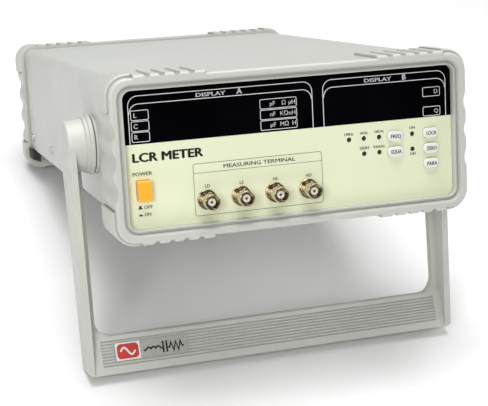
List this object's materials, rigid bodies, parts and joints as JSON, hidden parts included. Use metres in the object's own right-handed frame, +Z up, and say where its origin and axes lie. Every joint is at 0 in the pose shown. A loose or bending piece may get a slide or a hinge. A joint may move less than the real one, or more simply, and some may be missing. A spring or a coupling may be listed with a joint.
{
  "type": "lcr meter",
  "caption": "Bench LCR meter standing tilted on its swivelling bail handle, with a twin-display panel, press keys, a power button and BNC measuring terminals between ribbed corner bezels.",
  "frame": {"origin": "middle of the footprint, on the ground plane the handle and the rear bezel stand on", "axes": "+Z up; +X to the right seen from the front; the display panel faces -Y and is tipped up by its handle, so the case runs back and down along +Y"},
  "size_m": [0.2612, 0.3918, 0.2134],
  "materials": {
    "bezel_cream": "fine moulded grain, slightly glossy",
    "case_paint": "smooth semi-matt baked paint",
    "fascia": "fine orange-peel overlay film",
    "window_smoke": "smoked display filter",
    "zinc_steel": "zinc plated",
    "display_black": "moulded black",
    "board_green": "solder-masked glass epoxy",
    "led_red": "tinted epoxy",
    "dark_plastic": "moulded black",
    "button_amber": "moulded, slightly glossy",
    "key_white": "moulded, slightly glossy",
    "dielectric_white": "turned fluoropolymer",
    "gold_contact": "gold plated",
    "nickel": "bright nickel plate",
    "fuse_glass": "clear",
    "capacitor_sleeve": "shrink sleeve",
    "relay_case": "moulded",
    "aluminium": "extruded",
    "core_steel": "varnished laminations",
    "coil_tape": "polyester tape wrap",
    "foot_rubber": "moulded",
    "label_silver": "satin printed foil"
  },
  "bodies": {
    "instrument": {"bnc_contacts": "gold_contact", "bnc_insulators": "dielectric_white", "bnc_nuts": "nickel", "bnc_shell_hd": "nickel", "bnc_shell_hs": "nickel", "bnc_shell_ld": "nickel", "bnc_shell_ls": "nickel", "board_screws": "zinc_steel", "board_standoffs": "nickel", "bottom_cover": "case_paint", "bottom_feet": "foot_rubber", "capacitors": "capacitor_sleeve", "corner_bumpers": "foot_rubber", "cover_screws": "zinc_steel", "digit_display_a": "display_black", "digit_display_b": "display_black", "display_board": "board_green", "display_window": "window_smoke", "foot_screws": "zinc_steel", "front_bezel": "bezel_cream", "front_panel": "fascia", "heatsink": "aluminium", "hub_discs": "dark_plastic", "indicator_leds": "led_red", "inlet_pins": "nickel", "integrated_circuits": "display_black", "key_switches": "dark_plastic", "main_board": "board_green", "panel_backplate": "zinc_steel", "pivot_bolts": "zinc_steel", "pivot_plates": "zinc_steel", "pivot_springs": "zinc_steel", "power_inlet": "dark_plastic", "power_switch": "dark_plastic", "range_relays": "relay_case", "rear_bezel": "bezel_cream", "rear_panel": "zinc_steel", "rear_panel_screws": "zinc_steel", "switch_bracket": "zinc_steel", "top_cover": "case_paint", "transformer_coil": "coil_tape", "transformer_core": "core_steel", "transformer_rails": "zinc_steel", "voltage_regulators": "display_black"},
    "carry_handle": {"handle": "bezel_cream", "handle_label_plate": "label_silver"},
    "key_freq": {"key_freq": "key_white"},
    "key_equa": {"key_equa": "key_white"},
    "key_lock": {"key_lock": "key_white"},
    "key_zero": {"key_zero": "key_white"},
    "key_para": {"key_para": "key_white"},
    "power_button": {"power_button": "button_amber", "power_push_rod": "dark_plastic"},
    "fuse_drawer": {"fuse_drawer": "dark_plastic", "fuse": "fuse_glass"}
  },
  "joints": [
    {"name": "handle_swing", "type": "hinge", "parent": "instrument", "child": "carry_handle", "pos_m": [0, -0.10423, 0.1433], "axis": [1, 0, 0], "range_deg": [-235, 55]},
    {"name": "key_freq_press", "type": "slide", "parent": "instrument", "child": "key_freq", "axis": [0, 0.9523, -0.3053], "range_m": [0, 0.0008], "stiffness_N_per_m": 600, "springref_m": -0.001},
    {"name": "key_equa_press", "type": "slide", "parent": "instrument", "child": "key_equa", "axis": [0, 0.9523, -0.3053], "range_m": [0, 0.0008], "stiffness_N_per_m": 600, "springref_m": -0.001},
    {"name": "key_lock_press", "type": "slide", "parent": "instrument", "child": "key_lock", "axis": [0, 0.9523, -0.3053], "range_m": [0, 0.0008], "stiffness_N_per_m": 600, "springref_m": -0.001},
    {"name": "key_zero_press", "type": "slide", "parent": "instrument", "child": "key_zero", "axis": [0, 0.9523, -0.3053], "range_m": [0, 0.0008], "stiffness_N_per_m": 600, "springref_m": -0.001},
    {"name": "key_para_press", "type": "slide", "parent": "instrument", "child": "key_para", "axis": [0, 0.9523, -0.3053], "range_m": [0, 0.0008], "stiffness_N_per_m": 600, "springref_m": -0.001},
    {"name": "power_button_press", "type": "slide", "parent": "instrument", "child": "power_button", "axis": [0, 0.9523, -0.3053], "range_m": [0, 0.0035], "stiffness_N_per_m": 500, "springref_m": -0.004},
    {"name": "fuse_drawer_pull", "type": "slide", "parent": "instrument", "child": "fuse_drawer", "axis": [0, 0.9523, -0.3053], "range_m": [0, 0.018]}
  ]
}
